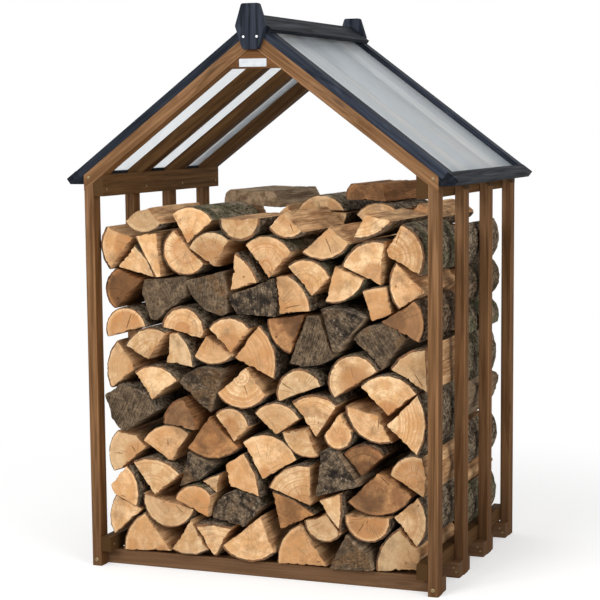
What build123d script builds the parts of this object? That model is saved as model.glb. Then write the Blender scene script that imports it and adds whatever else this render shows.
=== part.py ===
from build123d import *
import math
import os
import random

# Open log store with a gabled roof: two slatted sides of four posts, rafters in four pairs,
# translucent sheets held in dark trims, a ridge cap between two finials, and split logs stacked inside.
# X runs across the store, Y from front (-) to back (+), Z up. The origin is on the ground, under the middle.

# Driving dimensions, in millimetres
width = 1100.0
depth = 840.0
roof_rise = 3.0
roof_run = 4.0
rafter_line = 1601.0

# Timber
post_wide = 31.0
post_deep = 45.0
edge_round = 3.0
rail_wide = 33.0
low_rail_tall = 46.0
top_rail_tall = 65.0
rafter_tall = 36.5
bearer_tall = 46.0
bearer_deep = 42.0
batten_deep = 26.0
bearer_inset = 2.0
gusset_thick = 28.0
gusset_inset = 2.0
gusset_drop = 108.0
gusset_flat = 12.0
plate_wide = 84.0
plate_tall = 23.0
plate_thick = 1.5
plate_rise = 16.0
plate_round = 2.0
joint_gap = 0.2

# Dark trims and roof sheets, measured in the slope or square to it
trim_thick = 24.5
barge_wide = 48.0
barge_reach = 11.0
eave_reach = 42.0
eave_thick = 25.5
eave_face = 27.0
cap_thick = 12.0
cap_wide = 48.0
sheet_thick = 10.0
sheet_bearing = 12.0
ridge_gap = 12.0

# Finial: a long hexagon, narrower at the foot than at the waist
finial_thick = 18.0
top_rise = 74.0
waist_rise = 11.0
foot_drop = 55.0
half_top = 26.0
half_waist = 46.0
half_foot = 24.0
finial_round = 8.0

# Firewood: two rows of split logs, end to end from front to back
log_front = 30.0
row_gap = 30.0
log_play = 12.0
log_gap = 0.3
log_growth = 1.035
read_wall = 518.7
read_foot = 60.0
stack_foot = 47.0
stack_stretch = 1.0125
arc_step = 18.0
push_rounds = 80
push_share = 0.6
fall_rounds = 3
mid_stack = 560.0

left = -1
right = 1
sides = {"left": left, "right": right}
front = -1
rear = 1
ends = {"front": front, "rear": rear}
rows = ["front", "second", "third", "rear"]

slope = math.atan2(roof_rise, roof_run)
half_width = width / 2
half_depth = depth / 2
post_pitch = (depth - post_deep) / (len(rows) - 1)
rail_outer = half_width - post_wide - joint_gap
rail_inner = rail_outer - rail_wide
wall = half_width - post_wide - log_gap
log_long = half_depth - log_front - row_gap / 2
gusset_bottom = rafter_line - gusset_drop
plate_middle = gusset_bottom + plate_rise
barge_end = half_width + barge_reach
eave_end = half_width + eave_reach
eave_bottom = rafter_line - half_width * math.tan(slope) - eave_face
finial_top = rafter_line + top_rise
finial_waist = rafter_line + waist_rise
finial_foot = rafter_line - foot_drop

# Split logs of the front row, lowest first: tone, how far the bark bulges, and the corners of the split
# end in X and Z. An arc of bark closes each outline from the last corner to the first.
front_logs = [
    ("fresh", 22, (-458, 58), (-299, 69), (-385, 181)),
    ("fresh", 17, (-296, 76), (-232, 174), (-175, 83)),
    ("fresh", 8, (-218, 158), (-155, 60), (-98, 157)),
    ("fresh", 36, (-129, 99), (-3, 200), (41, 92)),
    ("fresh", 24, (48, 61), (206, 68), (118, 185)),
    ("weathered", 2, (208, 64), (261, 168), (328, 118), (345, 70)),
    ("fresh", 24, (354, 61), (478, 75), (489, 122), (419, 191)),
    ("fresh", 19, (-481, 240), (-394, 199), (-490, 116)),
    ("fresh", 24, (-408, 203), (-487, 240), (-498, 266), (-442, 331)),
    ("fresh", 80, (-220, 203), (-387, 243)),
    ("fresh", 37, (-283, 231), (-175, 179), (-160, 252)),
    ("weathered", 64, (-168, 178), (-62, 155), (-3, 222)),
    ("brown", 10, (165, 214), (58, 160), (30, 275)),
    ("fresh", 43, (126, 194), (202, 218), (243, 160)),
    ("fresh", 5, (252, 283), (180, 258), (204, 218), (248, 167)),
    ("fresh", 77, (399, 220), (256, 217)),
    ("fresh", 29, (472, 285), (398, 223), (469, 138)),
    ("brown", 48, (263, 258), (356, 350), (392, 342), (461, 288)),
    ("fresh", 26, (391, 342), (493, 283), (506, 340), (489, 400)),
    ("weathered", 3, (187, 397), (171, 264), (308, 302), (240, 397)),
    ("fresh", 28, (19, 289), (152, 244), (155, 364)),
    ("brown", 32, (250, 397), (306, 336), (380, 402)),
    ("weathered", 3, (-236, 379), (-264, 273), (-200, 295), (-155, 343)),
    ("fresh", 3, (-200, 293), (-150, 259), (-137, 320)),
    ("fresh", 27, (-424, 349), (-352, 248), (-262, 322)),
    ("fresh", 24, (-479, 431), (-416, 420), (-381, 386), (-467, 313), (-490, 305)),
    ("fresh", 36, (-394, 410), (-298, 350), (-243, 440)),
    ("brown", 33, (-70, 399), (-166, 489), (-234, 392)),
    ("fresh", 12, (-7, 262), (-107, 288), (-122, 353), (-59, 392)),
    ("fresh", 46, (-66, 419), (0, 312), (110, 378)),
    ("fresh", 32, (76, 450), (150, 463), (190, 385)),
    ("fresh", 48, (286, 466), (245, 522), (197, 454)),
    ("fresh", 45, (262, 559), (361, 538), (402, 459)),
    ("fresh", 26, (480, 581), (386, 489), (479, 406)),
    ("fresh", 38, (-153, 494), (-90, 414), (-40, 464)),
    ("fresh", 41, (-20, 505), (46, 442), (123, 494)),
    ("fresh", 26, (93, 546), (166, 442), (235, 545)),
    ("brown", 18, (-251, 559), (-212, 506), (-204, 461), (-318, 477)),
    ("weathered", 20, (-462, 577), (-511, 540), (-494, 474), (-470, 440), (-450, 430), (-342, 500)),
    ("fresh", 43, (19, 555), (-44, 638), (-136, 557)),
    ("fresh", 74, (56, 541), (194, 594)),
    ("fresh", 90, (226, 564), (361, 648)),
    ("fresh", 44, (302, 600), (388, 518), (478, 588)),
    ("fresh", 16, (391, 661), (504, 595), (499, 726)),
    ("fresh", 32, (-414, 624), (-358, 540), (-271, 605)),
    ("weathered", 26, (-136, 626), (-131, 600), (-141, 560), (-168, 496), (-188, 507), (-274, 581)),
    ("fresh", 27, (38, 600), (-86, 659), (-7, 760)),
    ("fresh", 24, (-468, 718), (-418, 655), (-413, 630), (-490, 571)),
    ("fresh", 76, (-507, 716), (-375, 753)),
    ("fresh", 33, (-441, 692), (-362, 650), (-300, 736)),
    ("fresh", 14, (-264, 736), (-294, 737), (-303, 646), (-215, 635)),
    ("fresh", 66, (-327, 750), (-192, 719), (-181, 749)),
    ("fresh", 34, (-170, 748), (-97, 677), (-30, 753)),
    ("fresh", 26, (-88, 675), (-179, 731), (-220, 666)),
    ("brown", 24, (19, 781), (134, 797), (91, 680)),
    ("weathered", 19, (222, 683), (176, 803), (139, 801), (84, 662)),
    ("weathered", 12, (187, 822), (222, 696), (238, 695), (324, 799)),
    ("weathered", 43, (278, 731), (368, 648), (439, 740)),
    ("brown", 22, (474, 860), (372, 797), (485, 741)),
    ("weathered", 1, (-377, 887), (-240, 899), (-236, 846), (-338, 768), (-356, 769), (-384, 850)),
    ("weathered", 10, (-235, 892), (-112, 924), (-101, 845), (-100, 800), (-120, 791), (-172, 808)),
    ("weathered", 12, (43, 896), (-98, 841), (-76, 787), (42, 783)),
    ("brown", 34, (-476, 925), (-394, 888), (-480, 801)),
    ("fresh", 17, (91, 911), (50, 909), (61, 797), (156, 811)),
    ("fresh", 35, (87, 941), (165, 854), (221, 911)),
    ("fresh", 27, (322, 907), (230, 944), (200, 838)),
    ("fresh", 2, (308, 878), (336, 788), (397, 812), (381, 892)),
    ("fresh", 26, (408, 963), (499, 881), (419, 828)),
    ("fresh", 9, (-404, 991), (-464, 922), (-338, 891)),
    ("fresh", 2, (-397, 1018), (-326, 1029), (-316, 896), (-334, 893)),
    ("fresh", 90, (-177, 933), (-277, 1035)),
    ("fresh", 35, (-226, 984), (-141, 926), (-97, 1010)),
    ("fresh", 12, (-73, 974), (-92, 858), (2, 886)),
    ("fresh", 36, (-42, 998), (33, 902), (104, 981)),
    ("fresh", 30, (250, 946), (370, 893), (381, 1018)),
    ("fresh", 38, (430, 1076), (380, 1000), (384, 982), (482, 929)),
    ("fresh", 34, (278, 1007), (218, 1057), (130, 981)),
    ("fresh", 23, (-495, 1060), (-408, 1026), (-487, 930)),
    ("fresh", 31, (-288, 1080), (-236, 992), (-155, 1063)),
    ("fresh", 31, (-312, 1068), (-355, 1117), (-396, 1106), (-432, 1076)),
    ("fresh", 68, (6, 1083), (-125, 1079)),
    ("fresh", 27, (139, 1038), (76, 1098), (32, 1050)),
    ("fresh", 18, (406, 1079), (316, 1099), (282, 1022)),
]
# Logs on top of the rear row, which is otherwise the front row turned end for end
rear_top_logs = [
    ("weathered", 10, (-290, 1125), (-95, 1118), (-120, 1170), (-270, 1173)),
    ("fresh", 50, (-44, 1110), (118, 1110)),
    ("brown", 8, (122, 1110), (255, 1105), (240, 1160), (140, 1160)),
]


def row_middle(row):
    """Y of the middle of a row of posts, counted from the front."""
    return -half_depth + post_deep / 2 + row * post_pitch


def roof_height(x, above=0.0):
    """Height at x of the plane this far above the rafters' tops, square to the slope."""
    return rafter_line - abs(x) * math.tan(slope) + above / math.cos(slope)


def prism(outline, y_from, y_to):
    """Solid with this outline in X and Z, between two places in Y."""
    face = Plane.XZ * Polygon(*outline, align=None)
    return Pos(0, y_from, 0) * extrude(face, y_to - y_from, dir=(0, 1, 0))


def mirrored(outline, side):
    """The right-hand outline, or its mirror image for the left."""
    return [(side * x, z) for x, z in outline]


def soften(piece, axis):
    """Rounds the long edges of a planed timber."""
    return fillet(piece.edges().filter_by(axis), edge_round)


def slope_point(x, above):
    """The point reached by going up square to the right-hand slope from its plane at x."""
    return (x + above * math.sin(slope), roof_height(x) + above * math.cos(slope))


def slope_strip(x_from, x_to, low, high):
    """Outline between two planes of the right-hand slope, with ends cut square to it."""
    return [slope_point(x_from, low), slope_point(x_to, low), slope_point(x_to, high), slope_point(x_from, high)]


def post(side, row):
    """Post whose head is cut to the slope under its rafter."""
    middle = row_middle(row)
    under = -rafter_tall - joint_gap
    inner = half_width - post_wide
    outline = [
        (inner, 0),
        (half_width, 0),
        (half_width, roof_height(half_width, under)),
        (inner, roof_height(inner, under)),
    ]
    piece = prism(mirrored(outline, side), middle - post_deep / 2, middle + post_deep / 2)
    return soften(piece, Axis.Z)


def low_rail(side):
    """Rail along the inside of the posts, on top of the bearers."""
    foot = bearer_tall + joint_gap
    head = foot + low_rail_tall
    outline = [(rail_inner, foot), (rail_outer, foot), (rail_outer, head), (rail_inner, head)]
    return soften(prism(mirrored(outline, side), -half_depth, half_depth), Axis.Y)


def top_rail(side):
    """Rail along the heads of the posts, planed on top to carry the rafters."""
    under = -rafter_tall - joint_gap
    head = roof_height(rail_inner, under)
    foot = head - top_rail_tall
    outline = [
        (rail_inner, foot),
        (rail_outer, foot),
        (rail_outer, roof_height(rail_outer, under)),
        (rail_inner, head),
    ]
    return prism(mirrored(outline, side), -half_depth, half_depth)


def bearer(y_from, y_to):
    """Cross-piece that lies on the ground from side to side."""
    reach = half_width - bearer_inset
    outline = [(-reach, 0), (reach, 0), (reach, bearer_tall), (-reach, bearer_tall)]
    return soften(prism(outline, y_from, y_to), Axis.X)


def bearer_before(row):
    """Bearer against the front of a row of posts."""
    against = row_middle(row) - post_deep / 2 - joint_gap
    return bearer(against - bearer_deep, against)


def bearer_behind(row, deep):
    """Bearer against the back of a row of posts."""
    against = row_middle(row) + post_deep / 2 + joint_gap
    return bearer(against, against + deep)


def rafter(side, row):
    """Rafter from the ridge to the outer face of the posts, cut upright at both ends."""
    middle = row_middle(row)
    ridge = joint_gap / 2
    outline = [
        (ridge, roof_height(ridge)),
        (half_width, roof_height(half_width)),
        (half_width, roof_height(half_width, -rafter_tall)),
        (ridge, roof_height(ridge, -rafter_tall)),
    ]
    return prism(mirrored(outline, side), middle - post_deep / 2, middle + post_deep / 2)


def gusset(end):
    """Plate in the peak between two rafters."""
    under = -rafter_tall - joint_gap
    peak = roof_height(gusset_flat, under)
    reach = (roof_height(0, under) - gusset_bottom) / math.tan(slope)
    outline = [(-reach, gusset_bottom), (reach, gusset_bottom), (gusset_flat, peak), (-gusset_flat, peak)]
    outer = end * (half_depth - gusset_inset)
    inner = outer - end * gusset_thick
    return prism(outline, min(outer, inner), max(outer, inner))


def name_plate():
    """Bare plate on the front gusset."""
    against = -half_depth + gusset_inset - joint_gap
    piece = Pos(0, against - plate_thick / 2, plate_middle) * Box(plate_wide, plate_thick, plate_tall)
    return fillet(piece.edges().filter_by(Axis.Y), plate_round)


def barge_board(side, end):
    """Trim over the outermost rafter, rebated underneath for the edge of the sheet."""
    outline = slope_strip(joint_gap, barge_end, joint_gap, trim_thick)
    outline[0] = (joint_gap, roof_height(joint_gap, joint_gap))
    outline[3] = (joint_gap, roof_height(joint_gap, trim_thick))
    rebate = slope_strip(0, barge_end + trim_thick, 0, sheet_thick + 2 * joint_gap)
    inner = half_depth - barge_wide
    board = prism(mirrored(outline, side), inner, half_depth)
    board -= prism(mirrored(rebate, side), inner - joint_gap, inner + sheet_bearing + joint_gap)
    if end == front:
        board = mirror(board, about=Plane.XZ)
    return board


def eave_board(side):
    """Trim along the ends of the rafters, its top in the slope and level underneath."""
    start = barge_end + joint_gap
    against = half_width + joint_gap
    outer_foot = (eave_bottom - roof_height(eave_end)) / math.cos(slope)
    outline = [
        (against, eave_bottom),
        slope_point(eave_end, outer_foot),
        slope_point(eave_end, eave_thick),
        slope_point(start, eave_thick),
        slope_point(start, 0),
        (against, roof_height(against)),
    ]
    return prism(mirrored(outline, side), -half_depth, half_depth)


def ridge_cap(side):
    """Board over the top edge of the sheet, resting on the barge boards."""
    low = trim_thick + joint_gap
    outline = slope_strip(joint_gap, cap_wide * math.cos(slope), low, low + cap_thick)
    outline[0] = (joint_gap, roof_height(joint_gap, low))
    outline[3] = (joint_gap, roof_height(joint_gap, low + cap_thick))
    return prism(mirrored(outline, side), -half_depth, half_depth)


def roof_sheet(side):
    """Translucent sheet on the rafters, its edges under the trims."""
    edge = half_depth - barge_wide + sheet_bearing
    outline = slope_strip(ridge_gap, barge_end, joint_gap, joint_gap + sheet_thick)
    return prism(mirrored(outline, side), -edge, edge)


def finial(end):
    """Board that closes the ridge and the tops of the barge boards."""
    outline = [
        (-half_foot, finial_foot),
        (half_foot, finial_foot),
        (half_waist, finial_waist),
        (half_top, finial_top),
        (-half_top, finial_top),
        (-half_waist, finial_waist),
    ]
    near = half_depth + joint_gap
    board = prism(outline, near, near + finial_thick)
    board = fillet(board.edges().filter_by(Axis.Y), finial_round)
    if end == front:
        board = mirror(board, about=Plane.XZ)
    return board


def signed_area(corners):
    """Area of an outline, negative where its corners run clockwise."""
    return sum(x0 * z1 - x1 * z0 for (x0, z0), (x1, z1) in zip(corners, corners[1:] + corners[:1])) / 2


def log_outline(bulge, corners):
    """Outline of a log's end, anticlockwise: split corners closed by an arc of bark on their right."""
    if signed_area(corners) < 0:
        corners = corners[::-1]
    (x0, z0), (x1, z1) = corners[-1], corners[0]
    chord = math.hypot(x1 - x0, z1 - z0)
    along_x, along_z = (x1 - x0) / chord, (z1 - z0) / chord
    radius = (chord / 2) ** 2 / (2 * bulge) + bulge / 2
    centre_x = (x0 + x1) / 2 - along_z * (radius - bulge)
    centre_z = (z0 + z1) / 2 + along_x * (radius - bulge)
    half_sweep = math.atan2(chord / 2, radius - bulge)
    count = max(2, round(math.degrees(2 * half_sweep) / arc_step))
    arc = []
    for step in range(1, count):
        angle = half_sweep * (2 * step / count - 1)
        ahead, outward = radius * math.sin(angle), radius * math.cos(angle)
        arc.append((
            centre_x + along_x * ahead + along_z * outward,
            centre_z + along_z * ahead - along_x * outward,
        ))
    return corners + arc


def sized(outline):
    """A log grown a little about its middle, in a stack stretched to the bearers and the posts."""
    mid_x = sum(x for x, z in outline) / len(outline)
    mid_z = sum(z for x, z in outline) / len(outline)
    place = stack_foot + (mid_z - read_foot) * stack_stretch
    spread = wall / read_wall
    return [
        ((mid_x + (x - mid_x) * log_growth) * spread, place + (z - mid_z) * log_growth)
        for x, z in outline
    ]


def moved(outline, dx, dz):
    return [(x + dx, z + dz) for x, z in outline]


def push_clear(outline, other):
    """The smallest move that takes an outline clear of another, or no move."""
    best = math.inf
    move = (0.0, 0.0)
    for shape, sign in ((outline, -1), (other, 1)):
        for (x0, z0), (x1, z1) in zip(shape, shape[1:] + shape[:1]):
            length = math.hypot(x1 - x0, z1 - z0)
            across_x, across_z = sign * (z1 - z0) / length, sign * (x0 - x1) / length
            far = max(x * across_x + z * across_z for x, z in other)
            near = min(x * across_x + z * across_z for x, z in outline)
            depth_in = far - near + log_gap
            if depth_in <= 0:
                return (0.0, 0.0)
            if depth_in < best:
                best = depth_in
                move = (across_x * depth_in, across_z * depth_in)
    return move


def reach_of(outline):
    """Least and greatest X of an outline."""
    return min(x for x, z in outline), max(x for x, z in outline)


def near_each_other(outline, other):
    """Whether the boxes round two outlines come within the gap between logs."""
    (left_a, right_a), (left_b, right_b) = reach_of(outline), reach_of(other)
    low_a, high_a = min(z for x, z in outline), max(z for x, z in outline)
    low_b, high_b = min(z for x, z in other), max(z for x, z in other)
    apart = max(left_a - right_b, left_b - right_a, low_a - high_b, low_b - high_a)
    return apart < log_gap


def push_apart(logs, fixed):
    """Shares out the places where logs cut into each other, between the posts and over the bearers."""
    for _ in range(push_rounds):
        for i in range(len(logs)):
            for j in range(i):
                if near_each_other(logs[i], logs[j]):
                    dx, dz = push_clear(logs[i], logs[j])
                    logs[i] = moved(logs[i], dx * push_share, dz * push_share)
                    logs[j] = moved(logs[j], dx * (push_share - 1), dz * (push_share - 1))
            for shape in fixed:
                if near_each_other(logs[i], shape):
                    logs[i] = moved(logs[i], *push_clear(logs[i], shape))
            low, high = reach_of(logs[i])
            logs[i] = moved(logs[i], max(-wall - low, 0) + min(wall - high, 0), 0)
    return logs


def span_at(outline, x):
    """Lowest and highest point of an outline on the upright line at x."""
    heights = []
    for (x0, z0), (x1, z1) in zip(outline, outline[1:] + outline[:1]):
        if min(x0, x1) <= x <= max(x0, x1):
            share = (x - x0) / (x1 - x0) if x1 != x0 else 0.0
            heights += [z0 + (z1 - z0) * share]
            if x1 == x0:
                heights += [z1]
    return min(heights), max(heights)


def fall(outline, other):
    """How far an outline can fall before it meets another, straight below it."""
    low = max(reach_of(outline)[0], reach_of(other)[0])
    high = min(reach_of(outline)[1], reach_of(other)[1])
    if low >= high:
        return math.inf
    places = [low, high] + [x for x, z in outline + other if low < x < high]
    return min(span_at(outline, x)[0] - span_at(other, x)[1] for x in places)


def settle(logs, fixed):
    """Lowers the logs one by one, lowest first, until each rests on something."""
    order = sorted(range(len(logs)), key=lambda i: min(z for x, z in logs[i]))
    for _ in range(fall_rounds):
        for i in order:
            drops = [fall(logs[i], other) for other in fixed + logs[:i] + logs[i + 1 :]]
            logs[i] = moved(logs[i], 0, log_gap - min(drop for drop in drops if drop > 0))
    return logs


def rectangle(x_from, x_to, z_from, z_to):
    return [(x_from, z_from), (x_to, z_from), (x_to, z_to), (x_from, z_to)]


def stack_base():
    """Outlines the bottom logs lie on or against: the bearers and the two low rails."""
    rail_top = bearer_tall + joint_gap + low_rail_tall
    return [
        rectangle(-half_width, half_width, 0, bearer_tall),
        rectangle(rail_inner, rail_outer, bearer_tall, rail_top),
        rectangle(-rail_outer, -rail_inner, bearer_tall, rail_top),
    ]


def stacks():
    """Tones and settled outlines of the logs in the front row and in the rear row."""
    read = [sized(log_outline(bulge, corners)) for tone, bulge, *corners in front_logs]
    tones = [tone for tone, *_ in front_logs]
    front_row = settle(push_apart(read, stack_base()), stack_base())
    turned = [[(-x, z) for x, z in reversed(outline)] for outline in front_row]
    tops = [sized(log_outline(bulge, corners)) for tone, bulge, *corners in rear_top_logs]
    top_tones = [tone for tone, *_ in rear_top_logs]
    rear_row = settle(push_apart(turned + tops, stack_base()), stack_base())
    return {"front": list(zip(tones, front_row)), "rear": list(zip(tones + top_tones, rear_row))}


def split_log(outline, end, chance):
    """Log lying from front to back, its outer end a little in or out."""
    outer = half_depth - log_front + chance.uniform(-log_play, log_play)
    inner = outer - log_long
    return prism(outline, min(end * outer, end * inner), max(end * outer, end * inner))


def log_groups():
    """The logs sorted into named groups by row, tone and, for the fresh ones, height."""
    chance = random.Random(5)
    groups = {}
    for end_name, row in stacks().items():
        for tone, outline in row:
            level = "low" if min(z for x, z in outline) < mid_stack else "high"
            kind = level if tone == "fresh" else tone
            group = groups.setdefault(f"{end_name}_{kind}_logs", [])
            group.append(split_log(outline, ends[end_name], chance))
    return groups


def save(piece, name):
    piece.label = name
    export_step(piece, f"parts/{name}.step")


os.makedirs("parts", exist_ok=True)
for side_name, side in sides.items():
    for row, row_name in enumerate(rows):
        save(post(side, row), f"{side_name}_{row_name}_post")
        save(rafter(side, row), f"{side_name}_{row_name}_rafter")
    save(low_rail(side), f"{side_name}_low_rail")
    save(top_rail(side), f"{side_name}_top_rail")
    save(eave_board(side), f"{side_name}_eave_board")
    save(ridge_cap(side), f"{side_name}_ridge_cap")
    save(roof_sheet(side), f"{side_name}_roof_sheet")
    for end_name, end in ends.items():
        save(barge_board(side, end), f"{side_name}_{end_name}_barge_board")
for end_name, end in ends.items():
    save(gusset(end), f"{end_name}_gusset")
    save(finial(end), f"{end_name}_finial")
save(name_plate(), "name_plate")
save(bearer_behind(0, bearer_deep), "front_bearer")
save(bearer_before(1), "second_bearer")
save(bearer_behind(1, batten_deep), "second_batten")
save(bearer_before(2), "third_bearer")
save(bearer_behind(2, batten_deep), "third_batten")
save(bearer_before(3), "rear_bearer")
for name, logs in log_groups().items():
    save(Compound(children=logs), name)
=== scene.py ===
import bpy
import math
import random
import numpy as np
from mathutils import Matrix, Vector, noise


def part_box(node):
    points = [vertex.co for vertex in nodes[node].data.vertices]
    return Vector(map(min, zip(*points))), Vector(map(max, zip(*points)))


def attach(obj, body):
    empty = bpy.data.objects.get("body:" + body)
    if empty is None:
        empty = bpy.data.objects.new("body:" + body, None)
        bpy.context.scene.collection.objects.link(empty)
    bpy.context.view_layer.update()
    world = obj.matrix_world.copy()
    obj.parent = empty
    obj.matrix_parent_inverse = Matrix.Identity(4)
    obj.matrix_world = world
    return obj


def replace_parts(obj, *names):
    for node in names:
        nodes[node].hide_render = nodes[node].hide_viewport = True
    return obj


# Log store: a stained timber frame, dark trims, translucent roof sheets and split firewood.
# Everything is in metres: X across, Y from front to back, Z up, the origin on the ground under the middle.

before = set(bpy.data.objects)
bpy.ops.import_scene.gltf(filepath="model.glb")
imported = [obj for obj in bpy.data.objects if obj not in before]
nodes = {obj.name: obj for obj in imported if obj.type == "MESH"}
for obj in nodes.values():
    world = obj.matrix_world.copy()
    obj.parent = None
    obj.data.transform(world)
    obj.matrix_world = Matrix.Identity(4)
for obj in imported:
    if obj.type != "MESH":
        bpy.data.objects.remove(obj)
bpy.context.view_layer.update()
chance = random.Random(11)

SLOPE = math.atan2(3, 4)
SIDES = ((-1, "left"), (1, "right"))
ENDS = ((-1, "front"), (1, "rear"))
ROWS = ("front", "second", "third", "rear")

# Node helpers

OBJECT_SPREAD = 37.0
LOG_SPREAD = 91.0


class Shader:
    """The node tree of a material or a world, with short calls for the nodes used here."""

    def __init__(self, owner, kind="Material"):
        owner.use_nodes = True
        self.owner = owner
        self.tree = owner.node_tree
        self.tree.nodes.clear()
        self.output = self.tree.nodes.new("ShaderNodeOutput" + kind)

    def feed(self, socket, value):
        if isinstance(value, bpy.types.NodeSocket):
            self.tree.links.new(value, socket)
        else:
            socket.default_value = value

    def node(self, kind, inputs=None, **settings):
        made = self.tree.nodes.new("ShaderNode" + kind)
        for name, value in settings.items():
            setattr(made, name, value)
        for key, value in (inputs or {}).items():
            self.feed(made.inputs[key], value)
        return made

    def math(self, operation, a, b=0.0, clamp=False):
        return self.node("Math", {0: a, 1: b}, operation=operation, use_clamp=clamp).outputs[0]

    def add(self, a, b):
        return self.math("ADD", a, b)

    def times(self, a, b):
        return self.math("MULTIPLY", a, b)

    def less(self, a, b):
        return self.math("SUBTRACT", a, b)

    def inverse(self, a):
        return self.math("SUBTRACT", 1.0, a, True)

    def centred(self, a, reach):
        """A value from 0 to 1 turned into one from -reach to reach."""
        return self.times(self.less(a, 0.5), 2 * reach)

    def noise(self, vector, scale, detail=3.0, rough=0.55):
        inputs = {"Vector": vector, "Scale": scale, "Detail": detail, "Roughness": rough}
        return self.node("TexNoise", inputs).outputs[0]

    def ramp(self, value, low, high):
        """0 below low, 1 above high, smooth in between."""
        inputs = {"Value": value, 1: low, 2: high}
        return self.node("MapRange", inputs, interpolation_type="SMOOTHSTEP").outputs[0]

    def between(self, value, low, high):
        """A value from 0 to 1 spread from low to high."""
        return self.node("MapRange", {"Value": value, 3: low, 4: high}).outputs[0]

    def mix(self, amount, a, b, blend="MIX"):
        made = self.node("Mix", data_type="RGBA", blend_type=blend)
        for socket, value in ((made.inputs[0], amount), (made.inputs[6], a), (made.inputs[7], b)):
            self.feed(socket, value)
        return made.outputs[2]

    def mapped(self, vector, scale, turn=(0, 0, 0)):
        return self.node("Mapping", {"Vector": vector, "Scale": scale, "Rotation": turn}).outputs[0]

    def shifted(self, vector, amount):
        return self.node("VectorMath", {0: vector, 1: amount}, operation="ADD").outputs[0]

    def joined(self, x, y=0.0, z=0.0):
        return self.node("CombineXYZ", {0: x, 1: y, 2: z}).outputs[0]

    def parts(self, vector):
        return self.node("SeparateXYZ", {0: vector}).outputs

    def place(self):
        """The object's coordinates, in metres."""
        return self.node("TexCoord").outputs["Object"]

    def own_place(self):
        """The object's coordinates, shifted by a different amount for each object."""
        own = self.times(self.node("ObjectInfo").outputs["Random"], OBJECT_SPREAD)
        return self.shifted(self.place(), own)

    def carried(self, name):
        """A number that the mesh carries at each point."""
        return self.node("Attribute", attribute_name=name).outputs["Fac"]

    def bump(self, height, strength, distance, normal=None):
        inputs = {"Height": height, "Strength": strength, "Distance": distance}
        if normal:
            inputs["Normal"] = normal
        return self.node("Bump", inputs).outputs[0]

    def shown(self, shader):
        """Ends the tree with this shader, and hands back the material or world."""
        self.feed(self.output.inputs[0], shader.outputs[0])
        return self.owner

    def finish(self, **inputs):
        """Ends the tree with a principled shader, its inputs named with underscores for spaces."""
        named = {key.replace("_", " "): value for key, value in inputs.items()}
        return self.shown(self.node("BsdfPrincipled", named))


def rgb(red, green, blue):
    """A colour given as it shows on screen, 0 to 255, as scene values."""
    def linear(value):
        value /= 255
        return value / 12.92 if value <= 0.04045 else ((value + 0.055) / 1.055) ** 2.4
    return (linear(red), linear(green), linear(blue), 1.0)


def dimmed(colour, share):
    return (*(channel * share for channel in colour[:3]), 1.0)


# Object helpers


def new_mesh(name, points, faces, looks):
    mesh = bpy.data.meshes.new(name)
    mesh.from_pydata(points, [], faces)
    for look in looks:
        mesh.materials.append(look)
    return mesh


def new_object(name, data):
    """An object with this mesh, lamp or camera, in the scene."""
    made = bpy.data.objects.new(name, data)
    bpy.context.scene.collection.objects.link(made)
    return made


# Materials of the frame and the roof

# For each run of the grain: the turn that lays it along X, its direction, and the two axes across it
GRAIN = {
    "x": (0, 0, 0),
    "y": (0, 0, math.radians(90)),
    "z": (0, math.radians(90), 0),
    "left": (0, SLOPE, 0),
    "right": (0, -SLOPE, 0),
}
RUN = {
    "x": (1, 0, 0),
    "y": (0, 1, 0),
    "z": (0, 0, 1),
    "left": (math.cos(SLOPE), 0, math.sin(SLOPE)),
    "right": (math.cos(SLOPE), 0, -math.sin(SLOPE)),
}
EDGE_PAIR = {"x": (1, 2), "y": (0, 2), "z": (0, 1)}
KNOT_CORE = (0.06, 0.13)
KNOT_HALO = (0.10, 0.42)
# How high the painted shade near the ground reaches
FOOT_SHADE_TOP = 0.5
# Painted light on front and rear faces: the heights over which it grows, and its colour
FRONT_LIGHT_RISE = (0.8, 1.25)
FRONT_LIGHT_TONE = rgb(160, 136, 114)
FLUTE_PITCH = 0.0105


def wood_figure(s, place):
    """Lines of sawn timber, from the contours of a noise drawn out along the grain, pores and streaks."""
    field = s.noise(s.mapped(place, (0.035, 1, 1)), 15.0, 1.0)
    field = s.add(field, s.times(s.noise(s.mapped(place, (0.3, 1, 1)), 30.0, 1.0), 0.02))
    turn = s.math("FRACT", s.times(field, 12.0))
    lines = s.times(s.ramp(turn, 0.0, 0.8), s.inverse(s.ramp(turn, 0.86, 1.0)))
    pores = s.noise(s.mapped(place, (0.03, 1, 1)), 420.0, 3.0, 0.6)
    streaks = s.noise(s.mapped(place, (0.04, 1, 1)), 85.0, 3.0, 0.6)
    return lines, pores, streaks


def knots(s, place, near, far):
    """Round knots here and there: 1 up to the distance near from a knot's middle, 0 beyond far."""
    cells = s.node("TexVoronoi", {"Vector": s.mapped(place, (3.0, 15, 15)), "Scale": 1.0})
    rare = s.math("GREATER_THAN", s.parts(cells.outputs["Color"])[0], 0.45)
    return s.times(s.inverse(s.ramp(cells.outputs["Distance"], near, far)), rare)


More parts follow.
